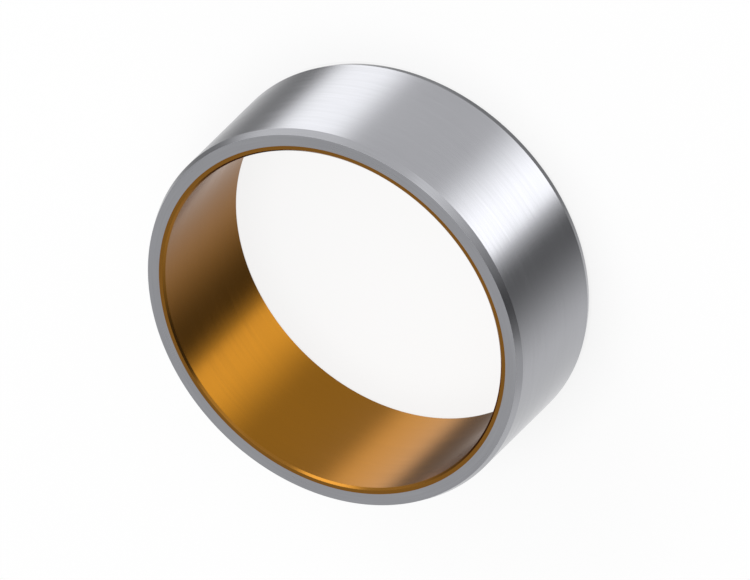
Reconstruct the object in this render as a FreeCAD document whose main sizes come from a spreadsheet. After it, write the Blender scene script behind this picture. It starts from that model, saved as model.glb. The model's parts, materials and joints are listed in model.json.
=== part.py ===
import FreeCAD, Part
import os

import Sketcher

# Plain bearing bushing: a turned steel shell, which a housing grips, lined with a thin bronze
# ring, which a shaft turns in. Both rings share one axis and end flush with each other.
# Millimetres. The bore runs along Z, and the lower end faces lie on Z = 0.

# Driving dimensions: name, value, what it sets
SIZES = (
    ("outer_diameter", 68.0, "outside of the shell, for a housing bored to this diameter"),
    ("shell_wall", 2.5, "steel, from the outside to the joint with the bronze"),
    ("liner_wall", 1.0, "bronze, from the joint to the bore"),
    ("ring_length", 25.0, "from end face to end face, for both rings"),
    ("lead_length", 1.4, "lead chamfer on the shell's outer edges, measured along the axis"),
    ("lead_angle", 20.0, "lead chamfer, in degrees from the axis"),
    ("bore_chamfer", 0.35, "chamfer on the liner's bore edges, along the axis and the radius"),
)

# Radii that follow from the driving dimensions. The joint is where steel and bronze meet.
OUTER_RADIUS = "sizes.outer_diameter / 2"
LEAD_FACE_RADIUS = f"{OUTER_RADIUS} - sizes.lead_length * tan(sizes.lead_angle * 1 deg)"
JOINT_RADIUS = f"{OUTER_RADIUS} - sizes.shell_wall"
BORE_RADIUS = f"{JOINT_RADIUS} - sizes.liner_wall"
BORE_FACE_RADIUS = f"{BORE_RADIUS} + sizes.bore_chamfer"

# Sketch references: the two ends of a line, the sketch's origin and its horizontal axis
START = 1
END = 2
ORIGIN = (-1, START)
HORIZONTAL_AXIS = -1

# Lines of a ring's half section, in the order in which they are drawn
LOWER_FACE, LOWER_CHAMFER, WORKING_SIDE, UPPER_CHAMFER, UPPER_FACE, JOINT_SIDE = range(6)
SECTION_BY_EYE = ((2, 0), (3, 0), (4, 1), (4, 4), (3, 5), (2, 5))


def make_sizes(doc):
    """The sheet of driving dimensions: name, value and note in columns A, B and C."""
    sheet = doc.addObject("Spreadsheet::Sheet", "sizes")
    for row, (name, value, note) in enumerate(SIZES, start=1):
        sheet.set(f"A{row}", name)
        sheet.set(f"B{row}", str(value))
        sheet.set(f"C{row}", note)
        sheet.setAlias(f"B{row}", name)


def dimension(sketch, kind, name, first, second, expression):
    """A named distance from the first point to the second, bound to the sheet."""
    index = sketch.addConstraint(Sketcher.Constraint(kind, *first, *second, 1.0))
    sketch.renameConstraint(index, name)
    sketch.setExpression(f"Constraints.{name}", expression)


def draw_half_section(body, working_radius, face_radius, chamfer_length):
    """A ring's half section on the body's XZ plane, with X as radius and Z as height.

    One side is the joint. The other is the working side, with a chamfer at each end of it:
    working_radius is that side's, and face_radius is where the end faces stop.
    """
    sketch = body.newObject("Sketcher::SketchObject", f"{body.Label}_section")
    plane = next(item for item in body.Origin.OriginFeatures if item.Role == "XZ_Plane")
    sketch.AttachmentSupport = (plane, [""])
    sketch.MapMode = "FlatFace"

    corners = [FreeCAD.Vector(x, y, 0) for x, y in SECTION_BY_EYE]
    following = corners[1:] + corners[:1]
    for start, end in zip(corners, following):
        sketch.addGeometry(Part.LineSegment(start, end), False)
    for line in range(len(corners)):
        next_line = (line + 1) % len(corners)
        sketch.addConstraint(Sketcher.Constraint("Coincident", line, END, next_line, START))

    for line in (LOWER_FACE, UPPER_FACE):
        sketch.addConstraint(Sketcher.Constraint("Horizontal", line))
    for line in (WORKING_SIDE, JOINT_SIDE):
        sketch.addConstraint(Sketcher.Constraint("Vertical", line))
    sketch.addConstraint(Sketcher.Constraint("Vertical", LOWER_FACE, END, UPPER_FACE, START))
    sketch.addConstraint(Sketcher.Constraint("PointOnObject", LOWER_FACE, START, HORIZONTAL_AXIS))

    across = "DistanceX"
    along = "DistanceY"
    dimension(sketch, across, "joint_radius", ORIGIN, (LOWER_FACE, START), JOINT_RADIUS)
    dimension(sketch, across, "face_radius", ORIGIN, (LOWER_FACE, END), face_radius)
    dimension(sketch, across, "working_radius", ORIGIN, (WORKING_SIDE, START), working_radius)
    dimension(sketch, along, "height", ORIGIN, (UPPER_FACE, START), "sizes.ring_length")
    for name, line in (("lower_chamfer", LOWER_CHAMFER), ("upper_chamfer", UPPER_CHAMFER)):
        dimension(sketch, along, name, (line, START), (line, END), chamfer_length)
    return sketch


def turn_ring(doc, name, working_radius, face_radius, chamfer_length):
    """A ring turned as one solid, standing on the part's origin."""
    body = doc.addObject("PartDesign::Body", name)
    body.Label = name
    sketch = draw_half_section(body, working_radius, face_radius, chamfer_length)
    ring = body.newObject("PartDesign::Revolution", f"{name}_ring")
    ring.Profile = sketch
    ring.ReferenceAxis = (sketch, ["V_Axis"])
    ring.Angle = 360
    body.Tip = ring
    body.Placement = FreeCAD.Placement()
    return body


def make_steel_shell(doc):
    """Outer ring, pressed into a housing, with a shallow lead chamfer on both outer edges."""
    return turn_ring(doc, "steel_shell", OUTER_RADIUS, LEAD_FACE_RADIUS, "sizes.lead_length")


def make_bronze_liner(doc):
    """Bearing layer on the shell's inside, with a small chamfer on both bore edges."""
    return turn_ring(doc, "bronze_liner", BORE_RADIUS, BORE_FACE_RADIUS, "sizes.bore_chamfer")


def check(doc, bodies):
    """Stops before anything is written if an object failed or a ring isn't one sound solid."""
    for item in doc.Objects:
        if "Invalid" in item.State or "Error" in item.State:
            raise RuntimeError(f"{item.Label} failed: {item.State}")
        if item.isDerivedFrom("Sketcher::SketchObject") and not item.FullyConstrained:
            raise RuntimeError(f"{item.Label} isn't fully constrained")
    for body in bodies:
        shape = body.Shape
        if shape.isNull() or not shape.isValid() or len(shape.Solids) != 1:
            raise RuntimeError(f"{body.Label} isn't one valid solid")


def write(bodies):
    """One file for each ring, named after it."""
    os.makedirs("parts", exist_ok=True)
    for body in bodies:
        body.Shape.exportStep(f"parts/{body.Label}.step")


document = FreeCAD.newDocument("bushing")
make_sizes(document)
document.recompute()
rings = [make_steel_shell(document), make_bronze_liner(document)]
document.recompute()
check(document, rings)
write(rings)
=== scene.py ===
import json
import math
from collections import namedtuple

import bmesh
import bpy
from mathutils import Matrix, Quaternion, Vector


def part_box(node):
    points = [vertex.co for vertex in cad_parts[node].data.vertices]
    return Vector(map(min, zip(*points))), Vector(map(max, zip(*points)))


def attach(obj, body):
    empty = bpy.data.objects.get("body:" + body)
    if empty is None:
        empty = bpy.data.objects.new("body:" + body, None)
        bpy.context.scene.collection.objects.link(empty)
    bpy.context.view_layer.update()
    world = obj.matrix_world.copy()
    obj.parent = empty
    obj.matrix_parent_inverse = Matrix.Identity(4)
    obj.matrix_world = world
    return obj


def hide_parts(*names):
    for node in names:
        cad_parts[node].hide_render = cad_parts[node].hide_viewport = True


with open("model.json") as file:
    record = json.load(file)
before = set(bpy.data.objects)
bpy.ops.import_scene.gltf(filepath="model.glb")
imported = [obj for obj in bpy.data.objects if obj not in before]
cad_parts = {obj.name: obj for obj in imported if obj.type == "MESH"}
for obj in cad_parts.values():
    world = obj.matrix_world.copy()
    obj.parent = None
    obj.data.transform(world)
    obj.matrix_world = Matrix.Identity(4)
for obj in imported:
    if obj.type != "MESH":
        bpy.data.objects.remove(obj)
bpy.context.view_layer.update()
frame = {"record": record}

# A plain bushing, steel outside and bronze inside, standing on a pale floor.
# Metres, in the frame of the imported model: the bore runs along Z, and Z = 0 is the floor.

MM = 0.001
MICRON = 0.000001

# The photograph's frame, with the ring in it measured in pixels
FRAME_PIXELS = (750, 580)
ORIGIN_PIXEL = (404.8, 248.78)
OUTER_RADIUS_PIXELS = 211.55

# The photograph's view of the ring: how high the camera looks down on the end face, and how
# far the picture is turned about the line of sight
VIEW_ELEVATION = math.radians(49.08)
VIEW_ROLL = math.radians(-134.44)
CAMERA_DISTANCE = 0.5

# Sizes of the rings, from the frame and its mounts. They don't hold the lead chamfer's angle.
mounts = {mount["name"]: mount["dims"] for mount in frame["record"]["mounts"]}
LEAD_ANGLE = math.radians(20)
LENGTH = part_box("steel_shell")[1].z
OUTER_RADIUS = mounts["housing_seat"]["r_mm"] * MM
BORE_RADIUS = mounts["bore"]["r_mm"] * MM
JOINT_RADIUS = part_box("bronze_liner")[1].x
LEAD_LENGTH = (LENGTH - mounts["housing_seat"]["length_mm"] * MM) / 2
LEAD_DROP = LEAD_LENGTH * math.tan(LEAD_ANGLE)
BORE_CHAMFER = (LENGTH - mounts["bore"]["length_mm"] * MM) / 2

# Turned mesh: faces round the axis and round each broken edge, and the edges' radius
ROUND_SEGMENTS = 360
EDGE_SEGMENTS = 4
EDGE_BREAK = 0.02 * MM

# Metal colours, as reflectance seen straight on. The liner's faces and chamfers take a lighter
# copy of its colour, painted light on them.
STEEL = (0.515, 0.52, 0.55)
BRONZE = (0.335, 0.136, 0.006)
BRONZE_PAINTED_LIGHTER = (0.352, 0.152, 0.020)

# Tints of the metals' reflections at a grazing angle
STEEL_GRAZED = (1.0, 1.0, 1.0)
BRONZE_GRAZED = (0.90, 0.90, 0.92)

# Share of the surface under a thin film of oil, and the film's roughness
DRY = 0.0
OILED = 0.10
OIL_ROUGHNESS = 0.5

# Lines round the axis: how far one runs, how much wider and deeper the broad ones are, and how
# much faster the pattern changes with height than with radius
LINE_RUN = 9 * MM
LINE_DETAIL = 2.0
BROAD_RUN = 20 * MM
BROAD_DETAIL = 1.0
BROAD_WIDTH = 6
BROAD_DEPTH = 3
HEIGHT_RATE = 1.7

# The tool's advance in one turn of the work
FEED = 0.35 * MM

# Clouds: slight changes from place to place, and their weight in the roughness, where the broad
# lines have a weight of 1
CLOUDS_PER_METRE = 60.0
CLOUD_DETAIL = 3.0
CLOUD_WEIGHT = 0.5

# How far the clouds change the tone, and how far they and the broad lines change the roughness
TONE_DRIFT = 0.02
ROUGHNESS_DRIFT = 0.15

# Where nearly all the values of a noise lie
NOISE_LOW = 0.3
NOISE_HIGH = 0.7

# A quarter of a full turn, as a shader counts it
QUARTER_TURN = 0.25


def add(tree, kind, inputs=None, **settings):
    """A node in the tree. Each input takes a number, a colour or another node's output."""
    made = tree.nodes.new(kind)
    for name, value in settings.items():
        setattr(made, name, value)
    for key, value in (inputs or {}).items():
        if isinstance(value, bpy.types.NodeSocket):
            tree.links.new(value, made.inputs[key])
        else:
            made.inputs[key].default_value = value
    return made


def maths(tree, operation, *values):
    """The output of a Math node."""
    return add(tree, "ShaderNodeMath", dict(enumerate(values)), operation=operation).outputs[0]


def remap(tree, value, low, high, to_low, to_high, kind="LINEAR"):
    """The value moved from one range to another, and held inside it."""
    inputs = {
        "Value": value,
        "From Min": low,
        "From Max": high,
        "To Min": to_low,
        "To Max": to_high,
    }
    made = add(tree, "ShaderNodeMapRange", inputs, interpolation_type=kind, clamp=True)
    return made.outputs["Result"]


# Turned rings

Corner = namedtuple("Corner", "radius height edge")
Step = namedtuple("Step", "start end start_normal end_normal region")


def ring_section(corners, regions):
    """The section of a ring as steps, straight from corner to corner and short round each edge.

    corners go round the metal with it on their left. Each is rounded by its own edge radius,
    and regions names the surface that runs from each corner to the next. The last of them is
    the joint with the other ring, which is out of sight.
    """
    count = len(corners)
    places = [Vector((corner.radius, corner.height)) for corner in corners]
    ways = [(places[(i + 1) % count] - places[i]).normalized() for i in range(count)]
    outward = [Vector((way.y, -way.x)) for way in ways]
    turns = [ways[i - 1].angle(ways[i]) for i in range(count)]
    trims = [corners[i].edge * math.tan(turns[i] / 2) for i in range(count)]
    steps = []
    for i in range(count):
        following = (i + 1) % count
        start = places[i] + ways[i] * trims[i]
        end = places[following] - ways[i] * trims[following]
        steps.append(Step(start, end, outward[i], outward[i], regions[i]))
        if corners[following].edge == 0:
            continue
        centre = end - outward[i] * corners[following].edge
        for part in range(EDGE_SEGMENTS):
            normals = [
                outward[i].slerp(outward[following], (part + offset) / EDGE_SEGMENTS)
                for offset in (0, 1)
            ]
            ends = [centre + normal * corners[following].edge for normal in normals]
            steps.append(Step(*ends, *normals, "edge"))
    return steps


def turned_ring(name, corners, regions, materials):
    """The section turned round Z, with its true normals, and a material for each region."""
    steps = ring_section(corners, regions)
    slots = list(materials)
    angles = [math.tau * turn / ROUND_SEGMENTS for turn in range(ROUND_SEGMENTS)]

    def turned(place, angle):
        return (place.x * math.cos(angle), place.x * math.sin(angle), place.y)

    shape = bmesh.new()
    rows = [[shape.verts.new(turned(step.start, angle)) for angle in angles] for step in steps]
    normals = []
    for index, step in enumerate(steps):
        row = rows[index]
        next_row = rows[(index + 1) % len(rows)]
        for turn, here in enumerate(angles):
            beside = (turn + 1) % ROUND_SEGMENTS
            there = here + math.tau / ROUND_SEGMENTS
            face = shape.faces.new((row[turn], row[beside], next_row[beside], next_row[turn]))
            face.material_index = slots.index(step.region)
            face.smooth = True
            normals.append(turned(step.start_normal, here))
            normals.append(turned(step.start_normal, there))
            normals.append(turned(step.end_normal, there))
            normals.append(turned(step.end_normal, here))
    mesh = bpy.data.meshes.new(name)
    shape.to_mesh(mesh)
    shape.free()
    mesh.normals_split_custom_set(normals)
    for material in materials.values():
        mesh.materials.append(material)
    ring = bpy.data.objects.new(name, mesh)
    bpy.context.scene.collection.objects.link(ring)
    return ring


# Metal finishes

# A finish: its roughness, how far highlights spread across the lines, the lines' width and depth,
# the depth of the feed marks, and how far painted shade darkens the lines' valleys and lightens
# their crests
Finish = namedtuple("Finish", "roughness spread line_width line_depth feed_depth tone")

GROUND = Finish(0.20, 0.5, 0.12 * MM, 0.5 * MICRON, 0.0, 0.03)
FACED = Finish(0.30, 0.0, 0.15 * MM, 0.8 * MICRON, 0.6 * MICRON, 0.04)
BORED = Finish(0.20, 0.4, 0.15 * MM, 0.4 * MICRON, 0.3 * MICRON, 0.03)
LEAD = Finish(0.20, 0.0, 0.12 * MM, 0.4 * MICRON, 0.0, 0.03)
BROKEN_EDGE = Finish(0.40, 0.0, 0.10 * MM, 0.2 * MICRON, 0.0, 0.02)


def round_the_axis(tree, across, along, detail):
    """Noise drawn out round the axis, as a tool or a grinding wheel leaves it, and its path.

    The path runs across the lines: outwards on the end faces and upwards on the walls.
    """
    place = add(tree, "ShaderNodeTexCoord").outputs["Object"]
    split = add(tree, "ShaderNodeSeparateXYZ", {0: place})
    flat = add(tree, "ShaderNodeCombineXYZ", {0: split.outputs[0], 1: split.outputs[1]}).outputs[0]
    radius = add(tree, "ShaderNodeVectorMath", {0: flat}, operation="LENGTH").outputs["Value"]
    path = maths(tree, "MULTIPLY_ADD", split.outputs[2], HEIGHT_RATE, radius)
    inputs = {
        0: maths(tree, "DIVIDE", path, across),
        1: maths(tree, "DIVIDE", split.outputs[0], along),
        2: maths(tree, "DIVIDE", split.outputs[1], along),
    }
    vector = add(tree, "ShaderNodeCombineXYZ", inputs).outputs[0]
    noise = add(tree, "ShaderNodeTexNoise", {"Vector": vector, "Scale": 1.0, "Detail": detail})
    return noise.outputs["Fac"], path


def drift(tree, noise, middle, share, weight=1):
    """The middle value, moved up and down by a share of itself as the noise goes.

    For a sum of weighted noises, weight is the sum of their weights.
    """
    low = NOISE_LOW * weight
    high = NOISE_HIGH * weight
    return remap(tree, noise, low, high, middle * (1 - share), middle * (1 + share))


def metal(name, colour, grazed, oil, finish):
    """A machined metal: fine lines round the axis with painted shade in their valleys, uneven
    gloss, a slight drift of tone.
    """
    material = bpy.data.materials.new(name)
    material.use_nodes = True
    tree = material.node_tree
    tree.nodes.clear()

    lines, path = round_the_axis(tree, finish.line_width, LINE_RUN, LINE_DETAIL)
    broad, _ = round_the_axis(tree, BROAD_WIDTH * finish.line_width, BROAD_RUN, BROAD_DETAIL)
    place = add(tree, "ShaderNodeTexCoord").outputs["Object"]
    inputs = {"Vector": place, "Scale": CLOUDS_PER_METRE, "Detail": CLOUD_DETAIL}
    clouds = add(tree, "ShaderNodeTexNoise", inputs).outputs["Fac"]

    # Tone: painted shade, darker in the valleys of the lines and lighter on their crests, and a
    # slight random unevenness over the whole ring
    painted_valley_shade = drift(tree, lines, 1.0, finish.tone)
    by_clouds = drift(tree, clouds, 1.0, TONE_DRIFT)
    tone = maths(tree, "MULTIPLY", painted_valley_shade, by_clouds)
    tinted = add(
        tree, "ShaderNodeVectorMath", {0: colour, "Scale": tone}, operation="SCALE"
    ).outputs["Vector"]

    # Gloss: it changes with the broad lines and the clouds
    uneven = maths(tree, "ADD", broad, maths(tree, "MULTIPLY", clouds, CLOUD_WEIGHT))
    roughness = drift(tree, uneven, finish.roughness, ROUGHNESS_DRIFT, 1 + CLOUD_WEIGHT)

    # Relief: the lines, over the tool's feed marks
    feed = maths(tree, "SINE", maths(tree, "MULTIPLY", path, math.tau / FEED))
    feed_height = maths(tree, "MULTIPLY", feed, finish.feed_depth / 2)
    line_height = maths(tree, "MULTIPLY", lines, finish.line_depth)
    broad_height = maths(tree, "MULTIPLY", broad, finish.line_depth * BROAD_DEPTH)
    height = maths(tree, "ADD", maths(tree, "ADD", feed_height, line_height), broad_height)
    bump = add(tree, "ShaderNodeBump", {"Height": height, "Strength": 1.0, "Distance": 1.0})

    # Highlights spread along the tangent, so it is turned from along the lines to across them
    around = add(tree, "ShaderNodeTangent", direction_type="RADIAL", axis="Z")
    shader = add(tree, "ShaderNodeBsdfPrincipled", {
        "Base Color": tinted,
        "Metallic": 1.0,
        "Specular Tint": (*grazed, 1),
        "Coat Weight": oil,
        "Coat Roughness": OIL_ROUGHNESS,
        "Roughness": roughness,
        "Anisotropic": finish.spread,
        "Anisotropic Rotation": QUARTER_TURN,
        "Normal": bump.outputs[0],
        "Tangent": around.outputs[0],
    })
    add(tree, "ShaderNodeOutputMaterial", {"Surface": shader.outputs[0]})
    return material


# Studio

# A panel's sides in degrees of azimuth, how far each of them fades inwards, its ends in degrees
# of elevation, how far both of these fade, and its level of light. A side past -180 or an end past
# -90 is out of reach, so the panel has no edge there.
Panel = namedtuple("Panel", "left right left_soft right_soft low high soft level")

SURROUND_LEVEL = 0.72
PANELS = (
    Panel(-110, -38, 52, 14, -100, 60, 5, 0.16),
    Panel(92, 170, 34, 36, -100, 60, 5, 0.25),
    Panel(-400, -135, 10, 35, -100, -32, 14, 0.86),
    Panel(-42, 16, 10, 37, -100, -28, 14, 2.05),
    Panel(61, 124, 22, 22, -100, -28, 14, 1.68),
    Panel(-100, -68, 14, 10, -42, 20, 14, 0.54),
    Panel(-66, 2, 12, 58, -42, 20, 14, 0.08),
    Panel(-10, 24, 20, 8, -42, 20, 14, 0.98),
    Panel(48, 121, 16, 30, -42, 20, 14, 0.88),
    Panel(-74, -24, 16, 14, 14, 60, 10, 0.06),
    Panel(-30, 15, 8, 12, 16, 60, 10, 0.98),
    Panel(42, 84, 12, 12, 20, 44, 9, 3.1),
)

# The regions above, below, high up behind and low behind: the level of each, and where it fades,
# in degrees
ZENITH_LEVEL = 1.1
ZENITH_ELEVATION = (60, 78)
NADIR_LEVEL = 0.275
NADIR_ELEVATION = (-79, -56)
BEHIND_HIGH_LEVEL = 0.505
BEHIND_HIGH_AZIMUTH = (110, 160)
BEHIND_HIGH_ELEVATION = (5, 35)
BEHIND_LOW_LEVEL = 0.95
BEHIND_LOW_AZIMUTH = (160, 172)
BEHIND_LOW_ELEVATION = (-46, -32)


def surroundings():
    """Pale surroundings with tall soft panels and dark gaps, which the metal mirrors.

    Azimuth is from the photograph's side of the ring (-Y), towards +X. The metal's lower
    reflections look past the floor, so the panels go on below it. Low behind, one level joins
    both sides where the azimuth wraps round.
    """
    world = bpy.data.worlds.new("studio")
    bpy.context.scene.world = world
    world.use_nodes = True
    tree = world.node_tree
    tree.nodes.clear()
    way = add(tree, "ShaderNodeTexCoord").outputs["Generated"]
    split = add(tree, "ShaderNodeSeparateXYZ", {0: way})
    towards = maths(tree, "MULTIPLY", split.outputs[1], -1.0)
    azimuth = maths(tree, "DEGREES", maths(tree, "ARCTAN2", split.outputs[0], towards))
    elevation = maths(tree, "DEGREES", maths(tree, "ARCSINE", split.outputs[2]))

    def beyond(value, start, full):
        return remap(tree, value, start, full, 0.0, 1.0, "SMOOTHSTEP")

    def short_of(value, full, end):
        return remap(tree, value, full, end, 1.0, 0.0, "SMOOTHSTEP")

    def between(value, low, high, low_soft, high_soft):
        rise = beyond(value, low, low + low_soft)
        fall = short_of(value, high - high_soft, high)
        return maths(tree, "MULTIPLY", rise, fall)

    def towards_level(level, target, share):
        inputs = {"Factor": share, "A": level, "B": target}
        return add(tree, "ShaderNodeMix", inputs, data_type="FLOAT").outputs[0]

    to_either_side = maths(tree, "ABSOLUTE", azimuth)
    behind = beyond(to_either_side, *BEHIND_HIGH_AZIMUTH)
    high_up = beyond(elevation, *BEHIND_HIGH_ELEVATION)
    far_behind = beyond(to_either_side, *BEHIND_LOW_AZIMUTH)
    low_down = short_of(elevation, *BEHIND_LOW_ELEVATION)

    level = SURROUND_LEVEL
    level = towards_level(level, BEHIND_HIGH_LEVEL, maths(tree, "MULTIPLY", behind, high_up))
    for panel in PANELS:
        across = between(azimuth, panel.left, panel.right, panel.left_soft, panel.right_soft)
        upright = between(elevation, panel.low, panel.high, panel.soft, panel.soft)
        level = towards_level(level, panel.level, maths(tree, "MULTIPLY", across, upright))
    level = towards_level(level, BEHIND_LOW_LEVEL, maths(tree, "MULTIPLY", far_behind, low_down))
    level = towards_level(level, ZENITH_LEVEL, beyond(elevation, *ZENITH_ELEVATION))
    level = towards_level(level, NADIR_LEVEL, short_of(elevation, *NADIR_ELEVATION))
    background = add(tree, "ShaderNodeBackground", {"Color": (1, 1, 1, 1), "Strength": level})
    add(tree, "ShaderNodeOutputWorld", {"Surface": background.outputs[0]})


def overhead_softbox(height, diameter, power):
    """A round soft lamp straight above the ring.

    It lights the floor. The metal mirrors the surroundings alone, so the end faces don't burn out
    when they are seen from above.
    """
    lamp = bpy.data.lights.new("overhead_softbox", "AREA")
    lamp.shape = "DISK"
    lamp.size = diameter
    lamp.energy = power
    box = bpy.data.objects.new("overhead_softbox", lamp)
    box.location = (0, 0, height)
    box.visible_camera = False
    box.visible_glossy = False
    bpy.context.scene.collection.objects.link(box)


def pale_floor():
    """A plain white floor, on which the ring's shadow is kept faint.

    Seen directly, it is part paint in the studio's light and part plain white.
    """
    radius = 3.0
    white_share = 0.8
    shape = bmesh.new()
    bmesh.ops.create_circle(shape, cap_ends=True, segments=96, radius=radius)
    mesh = bpy.data.meshes.new("floor")
    shape.to_mesh(mesh)
    shape.free()
    material = bpy.data.materials.new("floor_paint")
    material.use_nodes = True
    tree = material.node_tree
    tree.nodes.clear()
    paint = add(tree, "ShaderNodeBsdfDiffuse", {"Color": (0.96, 0.96, 0.96, 1)})
    white = add(tree, "ShaderNodeEmission", {"Color": (1, 1, 1, 1), "Strength": 1.0})
    ray = add(tree, "ShaderNodeLightPath").outputs
    seen = maths(tree, "MAXIMUM", ray["Is Camera Ray"], ray["Is Glossy Ray"])
    seen = maths(tree, "MAXIMUM", seen, ray["Is Transmission Ray"])
    share = maths(tree, "MULTIPLY", seen, white_share)
    mixed = add(tree, "ShaderNodeMixShader", {0: share, 1: paint.outputs[0], 2: white.outputs[0]})
    add(tree, "ShaderNodeOutputMaterial", {"Surface": mixed.outputs[0]})
    mesh.materials.append(material)
    floor = bpy.data.objects.new("floor", mesh)
    floor.visible_glossy = False
    bpy.context.scene.collection.objects.link(floor)


def photograph_camera():
    """The photograph has no perspective, so the camera is orthographic and set by its pixels."""
    metres_per_pixel = OUTER_RADIUS / OUTER_RADIUS_PIXELS
    back = Vector((0, -math.cos(VIEW_ELEVATION), math.sin(VIEW_ELEVATION)))
    turn = (-back).to_track_quat("-Z", "Y") @ Quaternion((0, 0, 1), VIEW_ROLL)
    right = turn @ Vector((1, 0, 0))
    up = turn @ Vector((0, 1, 0))
    right_shift = (FRAME_PIXELS[0] / 2 - ORIGIN_PIXEL[0]) * metres_per_pixel
    up_shift = (ORIGIN_PIXEL[1] - FRAME_PIXELS[1] / 2) * metres_per_pixel
    data = bpy.data.cameras.new("camera")
    data.type = "ORTHO"
    data.ortho_scale = FRAME_PIXELS[0] * metres_per_pixel
    camera = bpy.data.objects.new("camera", data)
    camera.rotation_mode = "QUATERNION"
    camera.rotation_quaternion = turn
    camera.location = back * CAMERA_DISTANCE + right * right_shift + up * up_shift
    bpy.context.scene.collection.objects.link(camera)
    bpy.context.scene.camera = camera


# The bushing


def steel_shell():
    """The outer ring: ground outside, faced ends and lead chamfers, worn edges."""
    face_radius = OUTER_RADIUS - LEAD_DROP
    corners = (
        Corner(JOINT_RADIUS, 0, 0),
        Corner(face_radius, 0, EDGE_BREAK),
        Corner(OUTER_RADIUS, LEAD_LENGTH, EDGE_BREAK),
        Corner(OUTER_RADIUS, LENGTH - LEAD_LENGTH, EDGE_BREAK),
        Corner(face_radius, LENGTH, EDGE_BREAK),
        Corner(JOINT_RADIUS, LENGTH, 0),
    )
    regions = ("face", "lead", "wall", "lead", "face", "face")
    materials = {
        "wall": metal("steel_ground", STEEL, STEEL_GRAZED, DRY, GROUND),
        "face": metal("steel_faced", STEEL, STEEL_GRAZED, DRY, FACED),
        "lead": metal("steel_lead", STEEL, STEEL_GRAZED, DRY, LEAD),
        "edge": metal("steel_worn_edge", STEEL, STEEL_GRAZED, DRY, BROKEN_EDGE),
    }
    ring = turned_ring("steel_shell_turned", corners, regions, materials)
    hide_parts("steel_shell")
    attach(ring, "root")


def bronze_liner():
    """The inner ring: bored inside, faced ends, a small chamfer at both ends of the bore."""
    face_radius = BORE_RADIUS + BORE_CHAMFER
    corners = (
        Corner(JOINT_RADIUS, LENGTH, 0),
        Corner(face_radius, LENGTH, EDGE_BREAK),
        Corner(BORE_RADIUS, LENGTH - BORE_CHAMFER, EDGE_BREAK),
        Corner(BORE_RADIUS, BORE_CHAMFER, EDGE_BREAK),
        Corner(face_radius, 0, EDGE_BREAK),
        Corner(JOINT_RADIUS, 0, 0),
    )
    regions = ("face", "chamfer", "wall", "chamfer", "face", "face")
    materials = {
        "wall": metal("bronze_bored", BRONZE, BRONZE_GRAZED, OILED, BORED),
        # The faces and chamfers take the lighter copy of the bronze: painted light
        "face": metal("bronze_faced", BRONZE_PAINTED_LIGHTER, BRONZE_GRAZED, OILED, FACED),
        "chamfer": metal("bronze_chamfer", BRONZE_PAINTED_LIGHTER, BRONZE_GRAZED, OILED, BORED),
        "edge": metal("bronze_worn_edge", BRONZE, BRONZE_GRAZED, OILED, BROKEN_EDGE),
    }
    ring = turned_ring("bronze_liner_turned", corners, regions, materials)
    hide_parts("bronze_liner")
    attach(ring, "root")


steel_shell()
bronze_liner()
pale_floor()
surroundings()
overhead_softbox(height=0.9, diameter=0.6, power=3.0)
photograph_camera()
bpy.context.scene.view_settings.view_transform = "Standard"
